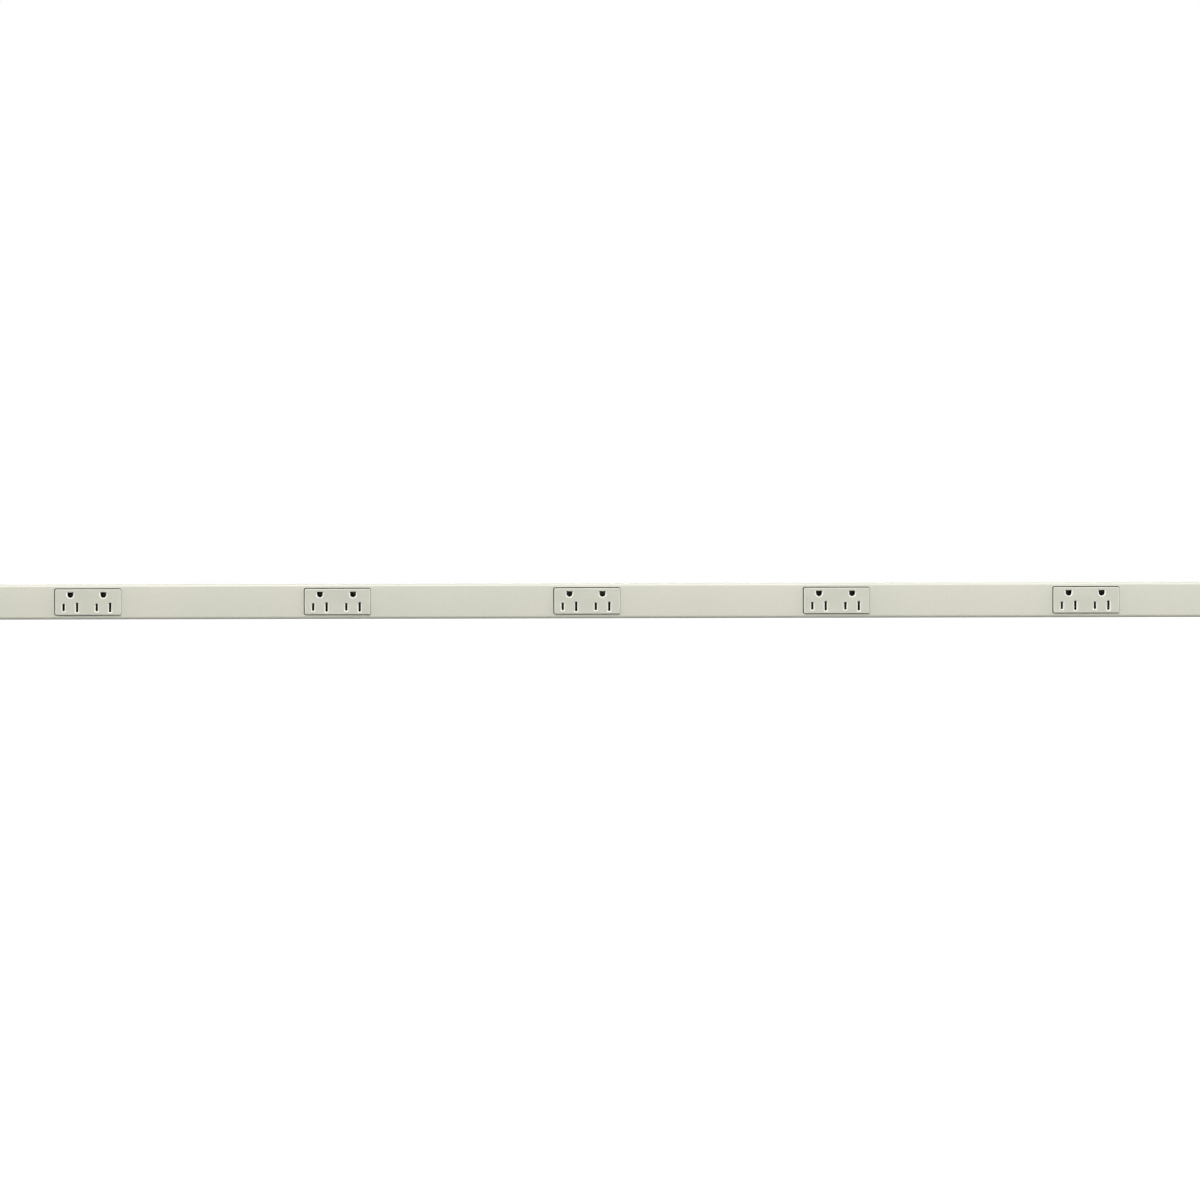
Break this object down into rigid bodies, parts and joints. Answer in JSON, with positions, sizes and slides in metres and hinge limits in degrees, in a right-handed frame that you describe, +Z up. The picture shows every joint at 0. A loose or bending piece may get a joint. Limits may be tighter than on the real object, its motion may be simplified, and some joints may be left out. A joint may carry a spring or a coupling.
{
  "type": "pre-wired metal raceway",
  "caption": "Slim wall-mounted steel raceway with built-in duplex power outlets, factory wired, with a removable cover and blank end caps.",
  "frame": {"origin": "centre of the base's back face, on the wall", "axes": "+X along the raceway to the viewer's right, +Y into the wall, +Z up; the outlets face -Y"},
  "size_m": [1.2214, 0.0205, 0.0354],
  "materials": {
    "cover_paint": "satin grey-ivory enamel",
    "base_paint": "satin grey-ivory enamel",
    "cap_paint": "satin grey-ivory enamel",
    "face_plastic": "moulded, satin",
    "body_plastic": "moulded, matt black",
    "contact_brass": "rolled strip",
    "spring_steel": "oil tempered",
    "zinc_steel": "zinc plated",
    "green_steel": "green plated",
    "tinned_copper": "tin plated",
    "black_insulation": "satin",
    "white_insulation": "satin",
    "green_insulation": "satin"
  },
  "bodies": {
    "root": {"raceway_cover": "cover_paint", "raceway_base": "base_paint", "end_cap_left": "cap_paint", "end_cap_right": "cap_paint", "receptacle_face_1": "face_plastic", "receptacle_body_1": "body_plastic", "hot_contact_1": "contact_brass", "neutral_contact_1": "contact_brass", "ground_contact_1": "contact_brass", "wire_clip_1": "spring_steel", "receptacle_face_2": "face_plastic", "receptacle_body_2": "body_plastic", "hot_contact_2": "contact_brass", "neutral_contact_2": "contact_brass", "ground_contact_2": "contact_brass", "wire_clip_2": "spring_steel", "receptacle_face_3": "face_plastic", "receptacle_body_3": "body_plastic", "hot_contact_3": "contact_brass", "neutral_contact_3": "contact_brass", "ground_contact_3": "contact_brass", "wire_clip_3": "spring_steel", "receptacle_face_4": "face_plastic", "receptacle_body_4": "body_plastic", "hot_contact_4": "contact_brass", "neutral_contact_4": "contact_brass", "ground_contact_4": "contact_brass", "wire_clip_4": "spring_steel", "receptacle_face_5": "face_plastic", "receptacle_body_5": "body_plastic", "hot_contact_5": "contact_brass", "neutral_contact_5": "contact_brass", "ground_contact_5": "contact_brass", "wire_clip_5": "spring_steel", "black_wire_1": "black_insulation", "white_wire_1": "white_insulation", "green_wire_1": "green_insulation", "black_wire_2": "black_insulation", "white_wire_2": "white_insulation", "green_wire_2": "green_insulation", "black_wire_3": "black_insulation", "white_wire_3": "white_insulation", "green_wire_3": "green_insulation", "black_wire_4": "black_insulation", "white_wire_4": "white_insulation", "green_wire_4": "green_insulation", "black_feed_tail": "black_insulation", "white_feed_tail": "white_insulation", "green_feed_tail": "green_insulation", "receptacle_screws": "zinc_steel", "ground_screw": "green_steel", "ring_terminal": "tinned_copper"}
  },
  "joints": []
}
